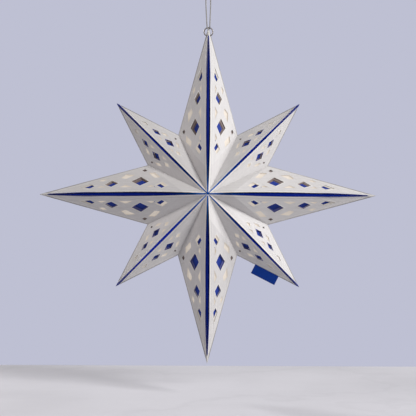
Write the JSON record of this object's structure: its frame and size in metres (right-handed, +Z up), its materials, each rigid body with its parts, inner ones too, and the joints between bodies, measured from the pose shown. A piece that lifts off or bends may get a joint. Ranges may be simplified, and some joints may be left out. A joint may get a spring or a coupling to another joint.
{
  "type": "paper star lantern",
  "caption": "Hanging eight-pointed star of folded, die-cut card in three layers, with open slits along its ridges, a wire ring, a cord loop and a plain side tag.",
  "frame": {"origin": "centre of the star, where the ridges and valleys of all eight arms meet the middle plane", "axes": "+Z up along the hanging arm, -Y out of the front face, +X to the right"},
  "size_m": [0.5, 0.095, 0.5886],
  "materials": {
    "pearl_card": "pearl satin",
    "cream_paper": "matt",
    "blue_card": "matt",
    "ring_wire": "polished",
    "cord": "soft sheen",
    "tag_tape": "woven"
  },
  "bodies": {
    "root": {"arm_top": "pearl_card", "arm_top_right": "pearl_card", "arm_right": "pearl_card", "arm_bottom_right": "pearl_card", "arm_bottom": "pearl_card", "arm_bottom_left": "pearl_card", "arm_left": "pearl_card", "arm_top_left": "pearl_card", "liner_top": "cream_paper", "liner_top_right": "cream_paper", "liner_right": "cream_paper", "liner_bottom_right": "cream_paper", "liner_bottom": "cream_paper", "liner_bottom_left": "cream_paper", "liner_left": "cream_paper", "liner_top_left": "cream_paper", "core_top": "blue_card", "core_top_right": "blue_card", "core_right": "blue_card", "core_bottom_right": "blue_card", "core_bottom": "blue_card", "core_bottom_left": "blue_card", "core_left": "blue_card", "core_top_left": "blue_card", "hanging_ring": "ring_wire", "hanging_cord": "cord", "cord_knot": "cord", "side_tag": "tag_tape"}
  },
  "joints": []
}
